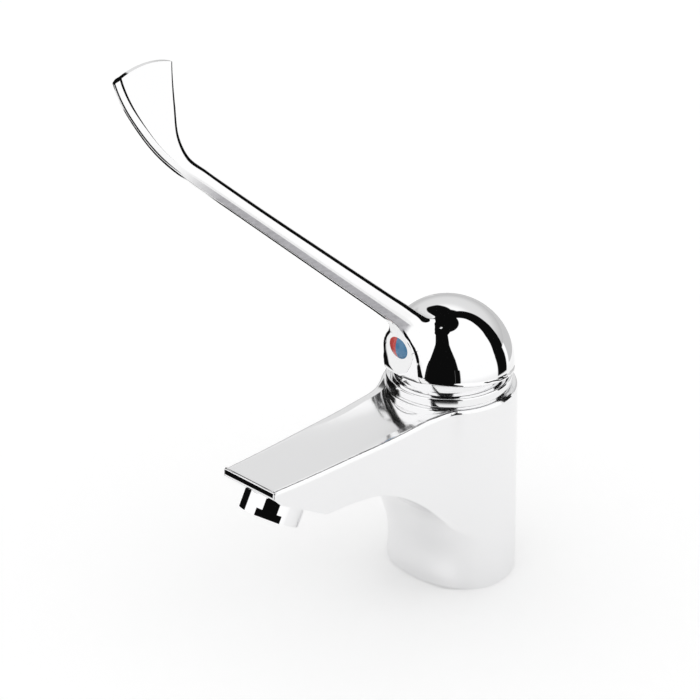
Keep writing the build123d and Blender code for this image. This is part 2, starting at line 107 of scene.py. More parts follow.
def noiseOf(tree, vector, scale, detail):
    # Smooth noise from 0 to 1 over a vector.
    noise = tree.nodes.new("ShaderNodeTexNoise")
    noise.inputs["Scale"].default_value = scale
    noise.inputs["Detail"].default_value = detail
    tree.links.new(vector, noise.inputs["Vector"])
    return noise.outputs["Fac"]


def rangeOf(tree, value, least, most, start=0.0, end=1.0):
    # Straight line from least at start to most at end, held beyond both.
    spread = tree.nodes.new("ShaderNodeMapRange")
    spread.inputs["From Min"].default_value = start
    spread.inputs["From Max"].default_value = end
    spread.inputs["To Min"].default_value = least
    spread.inputs["To Max"].default_value = most
    tree.links.new(value, spread.inputs["Value"])
    return spread.outputs["Result"]


def ramp(tree, value, rows):
    # Straight-line interpolation through rows of input and output.
    curve = tree.nodes.new("ShaderNodeFloatCurve")
    low, high = rows[0][0], rows[-1][0]
    outs = [row[1] for row in rows]
    least, most = min(outs), max(outs)
    points = curve.mapping.curves[0].points
    for i, (given, wanted) in enumerate(rows):
        place = ((given - low) / (high - low), (wanted - least) / max(most - least, 1e-6))
        if i in (0, len(rows) - 1):
            point = points[0] if i == 0 else points[len(points) - 1]
            point.location = place
        else:
            point = points.new(*place)
        point.handle_type = "VECTOR"
    curve.mapping.update()
    share = maths(tree, "DIVIDE", maths(tree, "SUBTRACT", value, float(low)), float(high - low))
    tree.links.new(share, curve.inputs["Value"])
    spread = maths(tree, "MULTIPLY", curve.outputs["Value"], float(most - least))
    return maths(tree, "ADD", spread, float(least))


def above(tree, value, edge, soft):
    # 0 below an edge and 1 over it, eased over a width to each side.
    rise = tree.nodes.new("ShaderNodeMapRange")
    rise.interpolation_type = "SMOOTHSTEP"
    rise.inputs["From Min"].default_value = -soft
    rise.inputs["From Max"].default_value = soft
    tree.links.new(maths(tree, "SUBTRACT", value, edge), rise.inputs["Value"])
    return rise.outputs["Result"]


def below(tree, value, edge, soft):
    # 1 below an edge and 0 over it.
    return maths(tree, "SUBTRACT", 1.0, above(tree, value, edge, soft))


def both(tree, *masks):
    # Product of masks.
    product = masks[0]
    for mask in masks[1:]:
        product = maths(tree, "MULTIPLY", product, mask)
    return product


def bearing(tree, vector):
    # X, Y, azimuth from ahead of the spout towards +X, and height over the horizon, in degrees.
    split = tree.nodes.new("ShaderNodeSeparateXYZ")
    tree.links.new(vector, split.inputs["Vector"])
    x, y, z = split.outputs
    turn = maths(tree, "DEGREES", maths(tree, "ARCTAN2", x, maths(tree, "MULTIPLY", y, -1.0)))
    return x, y, turn, maths(tree, "DEGREES", maths(tree, "ARCSINE", z))


def mixed(tree, share, first, second):
    # First shader where the share is 0 and second where it is 1.
    mix = tree.nodes.new("ShaderNodeMixShader")
    tree.links.new(share, mix.inputs["Fac"])
    tree.links.new(first, mix.inputs[1])
    tree.links.new(second, mix.inputs[2])
    return mix.outputs[0]


# Finishes: noise scales count per metre, and gloss and tint swing by shares of the finish's own
polish = {"scale": 60.0, "detail": 3.0, "least": 0.7, "most": 1.5}
# lever bar's lower facet: streaks of a linished finish, and a dark grey tint that is painted shade of a
# face turned down
linishAndShade = {
    "tint": (0.46, 0.455, 0.475),
    "roughness": 0.2,
    "streak": 0.10,
    "lineDeg": 42.0,
    "grain": (900.0, 6.0, 900.0),
    "scale": 1.0,
    "detail": 2.0,
    "contrast": (0.3, 0.7),
}
mottle = {"scale": 400.0, "detail": 4.0, "least": 0.8, "most": 1.2, "dark": 0.88, "light": 1.08}
chromeTint = (0.93, 0.93, 0.935)


def chromeMaterial(name, roughness, linishedAndShaded=False):
    # Plated metal: even polish with a faint, slow variation of the gloss. Where the piece's
    # streak-and-shade attribute is 1 it turns to a finely streaked, rougher finish along the bar, whose
    # dark grey tint is painted shade of the bar's downward-facing facet.
    material, tree, out = newMaterial(name)
    shader = tree.nodes.new("ShaderNodeBsdfPrincipled")
    shader.inputs["Base Color"].default_value = (*chromeTint, 1)
    shader.inputs["Metallic"].default_value = 1.0
    place = tree.nodes.new("ShaderNodeTexCoord").outputs["Object"]
    slow = noiseOf(tree, place, polish["scale"], polish["detail"])
    gloss = rangeOf(tree, slow, roughness * polish["least"], roughness * polish["most"])
    if linishedAndShaded:
        share = tree.nodes.new("ShaderNodeAttribute")
        share.attribute_name = "linishAndShade"
        lay = tree.nodes.new("ShaderNodeMapping")  # X stays, the bar's line comes to Y
        lay.inputs["Rotation"].default_value = (math.radians(linishAndShade["lineDeg"]), 0, 0)
        lay.inputs["Scale"].default_value = linishAndShade["grain"]
        tree.links.new(place, lay.inputs["Vector"])
        streaks = noiseOf(tree, lay.outputs["Vector"], linishAndShade["scale"], linishAndShade["detail"])
        tone = rangeOf(tree, streaks, 1.0 - linishAndShade["streak"], 1.0 + linishAndShade["streak"], *linishAndShade["contrast"])
        # dark grey tint, painted shade of the facet that faces down, streaked by the noise
        paintedShadeTint = tree.nodes.new("ShaderNodeVectorMath")
        paintedShadeTint.operation = "SCALE"
        paintedShadeTint.inputs[0].default_value = linishAndShade["tint"]
        tree.links.new(tone, paintedShadeTint.inputs["Scale"])
        blend = tree.nodes.new("ShaderNodeMix")
        blend.data_type = "RGBA"
        blend.inputs["A"].default_value = (*chromeTint, 1)
        tree.links.new(share.outputs["Fac"], blend.inputs["Factor"])
        tree.links.new(paintedShadeTint.outputs["Vector"], blend.inputs["B"])
        tree.links.new(blend.outputs["Result"], shader.inputs["Base Color"])
        rough = tree.nodes.new("ShaderNodeMix")
        rough.inputs["B"].default_value = linishAndShade["roughness"]
        tree.links.new(share.outputs["Fac"], rough.inputs["Factor"])
        tree.links.new(gloss, rough.inputs["A"])
        gloss = rough.outputs["Result"]
    tree.links.new(gloss, shader.inputs["Roughness"])
    tree.links.new(shader.outputs["BSDF"], out.inputs["Surface"])
    return material


def plainMaterial(name, tint, roughness, metallic=0.0):
    # Moulded or machined finish with a fine mottling of its tint and gloss.
    material, tree, out = newMaterial(name)
    shader = tree.nodes.new("ShaderNodeBsdfPrincipled")
    shader.inputs["Metallic"].default_value = metallic
    place = tree.nodes.new("ShaderNodeTexCoord").outputs["Object"]
    fine = noiseOf(tree, place, mottle["scale"], mottle["detail"])
    tone = tree.nodes.new("ShaderNodeValToRGB")
    tone.color_ramp.elements[0].color = (*[c * mottle["dark"] for c in tint], 1)
    tone.color_ramp.elements[1].color = (*[min(1.0, c * mottle["light"]) for c in tint], 1)
    tree.links.new(fine, tone.inputs["Fac"])
    tree.links.new(tone.outputs["Color"], shader.inputs["Base Color"])
    gloss = rangeOf(tree, fine, roughness * mottle["least"], roughness * mottle["most"])
    tree.links.new(gloss, shader.inputs["Roughness"])
    tree.links.new(shader.outputs["BSDF"], out.inputs["Surface"])
    return material


chrome = chromeMaterial("polishedChrome", 0.012)
castChrome = chromeMaterial("leverChrome", 0.012, linishedAndShaded=True)
bodyChrome = chromeMaterial("bodyChrome", 0.11)
ringChrome = chromeMaterial("ringChrome", 0.08)

# Tint, roughness and, for metals, a 1 for metallic
rubber = ((0.03, 0.03, 0.03), 0.7)
paleAcetal = ((0.80, 0.78, 0.70), 0.45)
greyAcetal = ((0.22, 0.24, 0.27), 0.45)
ceramic = ((0.88, 0.87, 0.83), 0.12)
brass = ((0.78, 0.60, 0.28), 0.28, 1.0)
stainless = ((0.62, 0.62, 0.62), 0.25, 1.0)

finishes = {
    "tap_body": bodyChrome,
    "elbow_lever": chrome,
    "trim_ring": chrome,
    "cover_collar": chrome,
    "aerator_housing": chrome,
    "base_seal": plainMaterial("blackRubber", *rubber),
    "port_seals": plainMaterial("blackRubberPorts", *rubber),
    "housing_seal": plainMaterial("blackRubberRing", *rubber),
    "aerator_washer": plainMaterial("blackRubberWasher", *rubber),
    "cartridge_base": plainMaterial("naturalAcetal", *paleAcetal),
    "cartridge_housing": plainMaterial("naturalAcetalHousing", *paleAcetal),
    "disc_carrier": plainMaterial("greyAcetal", *greyAcetal),
    "stem_turret": plainMaterial("greyAcetalGuide", *greyAcetal),
    "fixed_disc": plainMaterial("lappedCeramic", *ceramic),
    "moving_disc": plainMaterial("lappedCeramicMoving", *ceramic),
    "retaining_nut": plainMaterial("turnedBrass", *brass),
    "lever_stem": plainMaterial("turnedBrassStem", *brass),
    "stop_ring": plainMaterial("redAcetal", (0.62, 0.08, 0.06), 0.45),
    "pivot_pin": plainMaterial("stainlessPin", *stainless),
    "clamp_screw": plainMaterial("stainlessScrew", *stainless),
    "aerator_screen": plainMaterial("stainlessScreen", *stainless),
    "hot_marker": plainMaterial("hotRed", (0.60, 0.08, 0.07), 0.18),
    "cold_marker": plainMaterial("coldBlue", (0.09, 0.24, 0.42), 0.18),
    "aerator_insert": plainMaterial("greyInsert", (0.72, 0.74, 0.76), 0.4),
}
for node, material in finishes.items():
    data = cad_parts[node].data
    data.materials.clear()
    data.materials.append(material)
print("materials set")


# Studio: what metal sees, told by direction in degrees. Azimuth 0 is ahead of the spout, +90 the
# tap's +X side. A row of pairs is a ramp: elevation to azimuth for the panels' sides, elevation to
# level for the wall, and azimuth to elevation for the tops.
studio = {
    "diffuseLevel": 0.92,
    "panelLevel": 1.08,
    "darkLevel": 0.004,
    "rightPanelNear": ((-90, 72), (-28, 71), (-19, 70), (17, 64), (45, 56), (64, 56), (70, 72), (90, 76)),
    "rightPanelFar": ((-90, 134), (-17, 134), (-8, 138), (6, 139), (27, 145), (44, 156), (56, 167),
                      (90, 190)),
    "rightPanelTop": 69.0,
    "rightPanelSoft": 0.6,
    "leftPanelNear": -62.0,
    "leftPanelNearSoft": 1.5,
    "leftPanelFar": ((-90, 9), (-24, 9), (9, 12), (30, 11), (47, 18), (62, 19), (79, 24), (90, 24)),
    "leftPanelFarSoft": 0.8,
    "leftPanelTop": ((-180, 46), (-60, 46), (-24, 49), (-12, 79), (180, 79)),
    "leftPanelTopSoft": 1.0,
    "backdropNear": 163.0,
    "backdropFar": 261.0,
    "backdropSideSoft": 1.0,
    "backdropTop": ((0, -22), (162, -21), (163, -10), (166, 2), (169, 15), (176, 28), (188, 43),
                    (200, 56), (214, 57), (231, 47), (239, 41), (253, 36), (261, 28), (360, 28)),
    "backdropTopSoft": 1.5,
    "wallLevel": ((-90, 0.45), (-14, 0.45), (0, 0.56), (10, 0.66), (17, 0.755), (24, 0.776), (34, 0.79),
                  (40, 0.82), (46, 0.96), (52, 1.05), (90, 1.08)),
}

# Floor: its size in metres and other lengths in millimetres. Metal sees dark cards lying on it,
# each by azimuth from and to in degrees, distance from and to, and how dark it is.
floorSheet = {
    "size": 6.0,
    "tint": (0.93, 0.93, 0.93),
    "whiteLevel": 1.02,
    "cards": (
        (11.0, 61.0, 177.0, 9000.0, 1.0),
        (60.0, 69.0, 205.0, 9000.0, 1.0),
        (-46.0, -15.0, 218.0, 9000.0, 1.0),
        (138.0, 162.0, 210.0, 9000.0, 1.0),
        (-129.0, -99.0, 140.0, 250.0, 1.0),
        (-99.0, -55.0, 140.0, 9000.0, 1.0),
        (170.0, 181.0, 260.0, 9000.0, 0.45),
        (-181.0, -129.0, 260.0, 9000.0, 0.45),
        (-129.0, -99.0, 290.0, 9000.0, 0.45),
    ),
    "cardSoft": 8.0,
    "cardSoftDeg": 1.0,
    "nearLevel": 0.10,
    "farLevel": 0.22,
    "farStart": (200.0, 320.0),
}


def background(tree, strength):
    # White world light whose strength is a socket or a number.
    light = tree.nodes.new("ShaderNodeBackground")
    light.inputs["Color"].default_value = (1, 1, 1, 1)
    if isinstance(strength, float):
        light.inputs["Strength"].default_value = strength
    else:
        tree.links.new(strength, light.inputs["Strength"])
    return light.outputs[0]


def buildWorld():
    # Even soft light for matt surfaces; metal sees two panels, a backdrop and the dark between.
    world = bpy.data.worlds.new("studio")
    bpy.context.scene.world = world
    world.use_nodes = True
    tree = world.node_tree
    tree.nodes.clear()
    out = tree.nodes.new("ShaderNodeOutputWorld")
    coord = tree.nodes.new("ShaderNodeTexCoord")
    _, _, turn, high = bearing(tree, coord.outputs["Generated"])
    soft = studio["rightPanelSoft"]
    rightPanel = both(
        tree,
        above(tree, turn, ramp(tree, high, studio["rightPanelNear"]), soft),
        below(tree, turn, ramp(tree, high, studio["rightPanelFar"]), soft),
        below(tree, high, studio["rightPanelTop"], soft))
    leftPanel = both(
        tree,
        above(tree, turn, studio["leftPanelNear"], studio["leftPanelNearSoft"]),
        below(tree, turn, ramp(tree, high, studio["leftPanelFar"]), studio["leftPanelFarSoft"]),
        below(tree, high, ramp(tree, turn, studio["leftPanelTop"]), studio["leftPanelTopSoft"]))
    full = maths(tree, "FLOORED_MODULO", turn, 360.0)  # 0 to 360, so the backdrop has no seam
    side = studio["backdropSideSoft"]
    backdrop = both(
        tree,
        above(tree, full, studio["backdropNear"], side),
        below(tree, full, studio["backdropFar"], side),
        below(tree, high, ramp(tree, full, studio["backdropTop"]), studio["backdropTopSoft"]))
    panels = maths(tree, "MINIMUM", maths(tree, "ADD", rightPanel, leftPanel), 1.0)
    level = maths(tree, "MAXIMUM", maths(tree, "MULTIPLY", panels, studio["panelLevel"]),
                  maths(tree, "MULTIPLY", backdrop, ramp(tree, high, studio["wallLevel"])))
    level = maths(tree, "MAXIMUM", level, studio["darkLevel"])
    path = tree.nodes.new("ShaderNodeLightPath")
    lit = mixed(tree, path.outputs["Is Glossy Ray"], background(tree, studio["diffuseLevel"]),
                background(tree, level))
    seen = mixed(tree, path.outputs["Is Camera Ray"], lit, background(tree, 1.0))
    tree.links.new(seen, out.inputs["Surface"])


def buildFloor():
    # Wide pale sheet at the deck plane: white to the camera and pale to metal, with the tap's
    # shadow; metal also sees black and grey cards lying on it further out.
    half = floorSheet["size"] / 2
    mesh = bpy.data.meshes.new("floor")
    mesh.from_pydata([(-half, -half, 0), (half, -half, 0), (half, half, 0), (-half, half, 0)], [],
                     [(0, 1, 2, 3)])
    floor = bpy.data.objects.new("floor", mesh)
    bpy.context.scene.collection.objects.link(floor)
    material, tree, out = newMaterial("paleFloor")
    coord = tree.nodes.new("ShaderNodeTexCoord")
    x, y, turn, _ = bearing(tree, coord.outputs["Object"])
    squares = [maths(tree, "MULTIPLY", v, v) for v in (x, y)]
    away = maths(tree, "SQRT", maths(tree, "ADD", *squares))
    inward = maths(tree, "MULTIPLY", away, -1.0)
    back = maths(tree, "MULTIPLY", turn, -1.0)
    edge, edgeDeg = floorSheet["cardSoft"] * mm, floorSheet["cardSoftDeg"]
    cards = None
    for near, far, start, end, strength in floorSheet["cards"]:
        card = both(tree, above(tree, turn, near, edgeDeg), above(tree, back, -far, edgeDeg),
                    above(tree, away, start * mm, edge), above(tree, inward, -end * mm, edge), strength)
        cards = card if cards is None else maths(tree, "MAXIMUM", cards, card)
    path = tree.nodes.new("ShaderNodeLightPath")
    shader = tree.nodes.new("ShaderNodeBsdfDiffuse")
    shader.inputs["Color"].default_value = (*floorSheet["tint"], 1)
    # a glow lifts the sheet to white for the camera, and a little for metal, more further out
    lift = floorSheet["whiteLevel"] - floorSheet["tint"][0] * studio["diffuseLevel"]
    seen = maths(tree, "MULTIPLY", path.outputs["Is Camera Ray"], lift)
    start, end = floorSheet["farStart"]
    further = above(tree, away, (start + end) / 2 * mm, (end - start) / 2 * mm)
    extra = maths(tree, "MULTIPLY", further, floorSheet["farLevel"] - floorSheet["nearLevel"])
    mirrored = maths(tree, "MULTIPLY", path.outputs["Is Glossy Ray"],
                     maths(tree, "ADD", extra, floorSheet["nearLevel"]))
    glow = tree.nodes.new("ShaderNodeEmission")
    tree.links.new(maths(tree, "ADD", seen, mirrored), glow.inputs["Strength"])
    pale = tree.nodes.new("ShaderNodeAddShader")
    tree.links.new(shader.outputs[0], pale.inputs[0])
    tree.links.new(glow.outputs[0], pale.inputs[1])
    dark = tree.nodes.new("ShaderNodeEmission")
    dark.inputs["Strength"].default_value = studio["darkLevel"]
    carded = both(tree, cards, path.outputs["Is Glossy Ray"])
    tree.links.new(mixed(tree, carded, pale.outputs[0], dark.outputs[0]), out.inputs["Surface"])
    mesh.materials.append(material)


# Mesh helpers


def unit(v):
    # Directions of length one.
    return v / np.linalg.norm(v, axis=-1, keepdims=True)


def slerp(a, b, w):
    # Direction that turns evenly from one to another.
    angle = np.arccos(np.clip((a * b).sum(-1, keepdims=True), -1, 1))
    return (np.sin((1 - w) * angle) * a + np.sin(w * angle) * b) / np.sin(angle)


def gridFaces(rings, count):
    # Quads between neighbouring rings of a closed loop.
    i = np.arange(rings - 1)[:, None] * count
    j = np.arange(count)[None, :]
    k = (j + 1) % count
    return np.stack([i + j, i + k, i + count + k, i + count + j], -1).reshape(-1, 4)


def newPiece(name, points, quads, triangles, material, sharpDeg):
    # Mesh from arrays of millimetres, smooth but for edges over an angle, linked and finished.
    mesh = bpy.data.meshes.new(name)
    faces = np.concatenate([quads.ravel(), np.asarray(triangles, int).ravel()])
    starts = np.concatenate([np.arange(len(quads)) * 4,
                             len(quads) * 4 + np.arange(len(triangles)) * 3])
    mesh.vertices.add(len(points))
    mesh.vertices.foreach_set("co", (points * mm).ravel())
    mesh.loops.add(len(faces))
    mesh.loops.foreach_set("vertex_index", faces.astype(np.int32))
    mesh.polygons.add(len(starts))
    mesh.polygons.foreach_set("loop_start", starts.astype(np.int32))
    mesh.update(calc_edges=True)
    mesh.validate()
    mesh.materials.append(material)
    mesh.shade_smooth()
    mesh.set_sharp_from_angle(angle=math.radians(sharpDeg))
    piece = bpy.data.objects.new(name, mesh)
    bpy.context.scene.collection.objects.link(piece)
    return piece


# Lever casting: dome, prow, bar and paddle as one skin, in millimetres until the last step
leverShape = {
    "pivot": (0.0, 0.0, 91.7),
    "domeRadius": 25.2,
    "domeLong": 27.2,
    "domeLeanDeg": 45.0,
    "rimPoint": (0.0, 0.0, 89.9),
    "rimLeanDeg": 7.0,
    "rimSoft": 0.3,
    "lipRadius": 26.0,
    "lipThick": 1.3,
    "lipSoft": 0.5,
    "lipInset": 0.35,
    "lipFootInset": 0.5,
    "cavityRadius": 23.65,
    "cavityTopRadius": 22.0,
    "cavityStep": (0.29, 0.03),
    "barRoot": (0.0, -18.0, 112.0),
    "barDeg": 42.0,
    "barFlatSoft": 0.2,
    "barEdgeSoft": 0.3,
    "footBevel": 0.35,
    "faceForward": 27.9,
    "faceHeight": 106.0,
    "faceLeanDeg": 5.0,
    "faceCrown": 80.0,
    "prowHalf": 10.4,
    "prowShoulder": 106.5,
    "prowNeck": (4.7, 114.0),
    "prowFoot": 91.6,
    "prowRoof": 1.0,
    "prowSoft": 2.2,
    "shoulderSoft": 2.5,
    "footSoft": 5.0,
    "prowBlend": 3.5,
    "rootBlend": 4.2,
    "crownRadius": 34.0,
    "crownCentre": (-158.3, 235.3),
    "sharpDeg": 35.0,
    # how finely it is sampled, and how its rings run from one form into the next
    "facePoints": 13,
    "roundPoints": 8,
    "cornerSoft": 0.35,
    "cornerMost": 0.4,  # share of a side that a rounded corner may take
    "rimEven": 0.5,  # share of even spacing round the rim
    "domeRings": 110,
    "rootRings": 64,
    "barRings": 26,
    "paddleRings": 70,
    "paddleLines": 400,
    "hollowRings": 24,
    "openDeg": (20.0, 30.0, 45.0, 60.0, 75.0, 90.0),  # rays from the bar's axis, at the root
    "openSlide": (0.0, 13.5, 22.0, 28.5, 33.5, 38.0),  # how far their origin has slid by then
    "slideSmooth": 9,
    "onAxisAt": 22.0,
    "barSpacing": 1.4,
    "barTakeOver": 16.0,
    "domeReach": 45.0,
    "rootReach": 30.0,
    "barReach": 12.0,
    "barSteps": 60,
    # streaked band whose dark tint is painted shade of the downward-facing facet: its face, where the top
    # one is 0, and the rings over which it comes and goes
    "linishShadeFace": 4,
    "linishShadeBefore": 14,
    "linishShadeComeIn": 10.0,
    "linishShadeAfter": 22,
    "linishShadeGoOut": 22.0,
}

# Stations up the bar and the paddle, in millimetres and degrees: y, z, path angle, half height,
# chamfer height and run, run of the main face, run and height of the rib's step,
# half width and height of the ridge, half width of the foot
leverStations = np.array([
    (-18.0, 112.0, 42.0, 4.40, 1.45, 0.53, 0.15, 0.01, 0.30, 4.70, -0.60, 2.80),
    (-69.0, 157.9, 42.0, 3.80, 1.40, 0.51, 0.14, 0.01, 0.30, 4.36, -0.48, 2.66),
    (-120.0, 204.0, 42.2, 3.45, 1.35, 0.49, 0.12, 0.01, 0.30, 4.00, -0.45, 2.40),
    (-132.2, 215.2, 46.0, 3.50, 1.35, 0.45, 0.12, 0.03, 0.30, 3.70, -0.60, 2.62),
    (-141.2, 224.0, 53.0, 3.70, 1.70, 0.48, 0.10, 0.05, 0.22, 3.00, -1.20, 2.40),
    (-147.2, 233.0, 62.0, 5.50, 1.70, 0.37, 0.08, 0.08, 0.34, 2.30, -3.00, 1.60),
    (-151.8, 244.6, 69.0, 8.90, 1.50, 0.28, 0.06, 0.19, 0.80, 1.80, -6.40, 1.15),
    (-158.3, 266.7, 83.0, 14.20, 0.90, 0.16, 0.04, 0.37, 1.55, 1.25, -11.90, 0.70),
    (-159.1, 272.9, 86.0, 15.20, 0.80, 0.14, 0.04, 0.38, 1.60, 1.15, -12.90, 0.62),
])
barEnd = 2  # row where the straight bar ends and the bend begins


def alongStations(spots):
    # Cubic Hermite through the rows, with the slope at each row taken from its neighbours,
    # at places given as row numbers with fractions.
    table = leverStations
    steps = np.hypot(np.diff(table[:, 0]), np.diff(table[:, 1]))
    place = np.concatenate([[0.0], np.cumsum(steps)])
    slope = np.gradient(table, place, axis=0)
    low = np.clip(spots.astype(int), 0, len(table) - 2)
    f = (spots - low)[:, None]
    gap = steps[low][:, None]
    start, end = table[low], table[low + 1]
    return ((1 + 2 * f) * (1 - f) ** 2 * start + f * (1 - f) ** 2 * gap * slope[low]
            + f ** 2 * (3 - 2 * f) * end - f ** 2 * (1 - f) * gap * slope[low + 1])


def sectionCorners(rows):
    # Right half of each section from its top to its foot: eight corners of across and up.
    h, cham, chamRun, mainRun, stepRun, stepHigh, ridge, ridgeUp, foot = rows[:, 3:].T
    bevel = leverShape["footBevel"]
    across = [0 * h, ridge - stepRun - mainRun - chamRun, ridge - stepRun - mainRun,
              ridge - stepRun, ridge, foot, foot - bevel, 0 * h]
    up = [h, h, h - cham, ridgeUp + stepHigh, ridgeUp, bevel - h, -h, -h]
    return np.stack([np.stack(across, 1), np.stack(up, 1)], 2)


def sectionLoop(rows):
    # Each face is sampled between its rounded ends and each corner is a short parabola;
    # the left half is the mirror image, so the loop closes on itself.
    shape = leverShape
    corners = sectionCorners(rows)
    count = corners.shape[1]
    sides = np.diff(corners, axis=1)
    length = np.linalg.norm(sides, axis=2, keepdims=True)
    cut = np.minimum(shape["cornerSoft"] / np.maximum(length, 1e-6), shape["cornerMost"])
    begin = corners[:, :-1] + sides * cut
    finish = corners[:, 1:] - sides * cut
    begin[:, 0] = corners[:, 0]
    finish[:, -1] = corners[:, -1]
    inner = (1 - np.cos(np.linspace(0, np.pi, shape["facePoints"]))) / 2
    arc = np.linspace(0, 1, shape["roundPoints"] + 2)[1:-1]
    loop = []
    for k in range(count - 1):
        loop.append(begin[:, k, None] + (finish[:, k] - begin[:, k])[:, None] * inner[None, :, None])
        if k < count - 2:
            a, b, c = finish[:, k, None], corners[:, k + 1, None], begin[:, k + 1, None]
            t = arc[None, :, None]
            loop.append((1 - t) ** 2 * a + 2 * t * (1 - t) * b + t ** 2 * c)
    right = np.concatenate(loop, 1)
    left = right[:, -2:0:-1] * np.array([-1.0, 1.0])
    return np.concatenate([right, left], 1)


def placeSections(rows):
    # Across becomes X, up becomes the direction square to the path in the middle plane.
    loops = sectionLoop(rows)
    turn = np.radians(rows[:, 2])[:, None]
    points = np.empty(loops.shape[:2] + (3,))
    points[..., 0] = loops[..., 0]
    points[..., 1] = rows[:, 0, None] + loops[..., 1] * np.sin(turn)
    points[..., 2] = rows[:, 1, None] + loops[..., 1] * np.cos(turn)
    return points


def softMax(a, b, k):
    # Larger of two distances with the corner rounded over a width.
    h = np.clip(0.5 + 0.5 * (a - b) / k, 0, 1)
    return b + (a - b) * h + k * h * (1 - h)


def softMin(a, b, k):
    # Smaller of two distances with the corner filled over a width.
    return -softMax(-a, -b, k)


def domeDistance(x, y, z):
    # Egg of two radii, its long axis leaning forwards and up from the pivot; the distance is
    # estimated from the scaled radius k0 and the length of its slope.
    shape = leverShape
    lean = math.radians(shape["domeLeanDeg"])
    py, pz = y - shape["pivot"][1], z - shape["pivot"][2]
    ahead = -py * math.cos(lean) + pz * math.sin(lean)
    high = py * math.sin(lean) + pz * math.cos(lean)
    r, long = shape["domeRadius"], shape["domeLong"]
    k0 = np.sqrt((x / r) ** 2 + (ahead / long) ** 2 + (high / r) ** 2)
    k1 = np.sqrt((x / r ** 2) ** 2 + (ahead / long ** 2) ** 2 + (high / r ** 2) ** 2)
    return k0 * (k0 - 1) / np.maximum(k1, 1e-9)


def barDistance(x, up):
    # Planes through the corners of the root's section, laid round the bar's line.
    h, cham, chamRun, mainRun, stepRun, stepHigh, ridge, ridgeUp, foot = leverStations[0, 3:]
    top = ridge - stepRun - mainRun - chamRun
    corners = ((top, h), (top + chamRun, h - cham), (ridge, ridgeUp), (foot, -h))
    bar = softMax(up - h, -up - h, leverShape["barFlatSoft"])
    for (x0, u0), (x1, u1) in zip(corners, corners[1:]):
        size = math.hypot(x1 - x0, u1 - u0)
        face = ((x - x0) * (u0 - u1) + (up - u0) * (x1 - x0)) / size
        bar = softMax(bar, face, leverShape["barEdgeSoft"])
    return bar


def prowDistance(x, y, z, up):
    # Leaning crowned face, sides that draw in above the shoulder, foot and roof.
    shape = leverShape
    lean = math.radians(shape["faceLeanDeg"])
    face = ((-y - shape["faceForward"]) * math.cos(lean) - (z - shape["faceHeight"]) * math.sin(lean)
            + x ** 2 / (2 * shape["faceCrown"]))
    neckHalf, neckHigh = shape["prowNeck"]
    rise, draw = neckHigh - shape["prowShoulder"], shape["prowHalf"] - neckHalf
    upper = ((x - shape["prowHalf"]) * rise + (z - shape["prowShoulder"]) * draw) / math.hypot(rise, draw)
    side = softMax(x - shape["prowHalf"], upper, shape["shoulderSoft"])
    soft = shape["prowSoft"]
    prow = softMax(softMax(face, side, soft), up - shape["prowRoof"], soft)
    return softMax(prow, shape["prowFoot"] - z, shape["footSoft"])


def headDistance(points):
    # Signed distance to the head of the lever: egg, prow and root of the bar run into each other,
    # with a flat lip round the rim plane, and nothing below that plane.
    shape = leverShape
    x, y, z = np.abs(points[..., 0]), points[..., 1], points[..., 2]
    t = math.radians(shape["barDeg"])
    up = (y - shape["barRoot"][1]) * math.sin(t) + (z - shape["barRoot"][2]) * math.cos(t)
    a = math.radians(shape["rimLeanDeg"])
    ry, rz = y - shape["rimPoint"][1], z - shape["rimPoint"][2]
    high = ry * math.sin(a) + rz * math.cos(a)
    out = np.sqrt(x ** 2 + (ry * math.cos(a) - rz * math.sin(a)) ** 2)
    half = shape["lipThick"] / 2
    lip = softMax(out - shape["lipRadius"], np.abs(high - half) - half, shape["lipSoft"])
    whole = softMin(domeDistance(x, y, z), prowDistance(x, y, z, up), shape["prowBlend"])
    whole = softMin(whole, barDistance(x, up), shape["rootBlend"])
    return softMax(softMin(whole, lip, shape["lipSoft"]), -high, shape["rimSoft"])


def castRays(origins, ways, reach, steps=100, halvings=22):
    # Walk outwards along every ray at once to the first point outside, then halve the last step.
    size = reach / steps
    low = np.zeros(origins.shape[:-1])
    found = np.zeros(low.shape, bool)
    for i in range(1, steps + 1):
        outside = headDistance(origins + ways * (i * size)) > 0
        low = np.where(found | outside, low, i * size)
        found |= outside
    high = low + size
    for _ in range(halvings):
        mid = (low + high) / 2
        outside = headDistance(origins + ways * mid[..., None]) > 0
        high = np.where(outside, mid, high)
        low = np.where(outside, low, mid)
    return origins + ways * ((low + high) / 2)[..., None]


def roundAbout(turn, front):
    # Directions at each turn: sine of it across in X, cosine of it along the front.
    return np.sin(turn)[:, None] * np.array([1.0, 0, 0]) + np.cos(turn)[:, None] * front


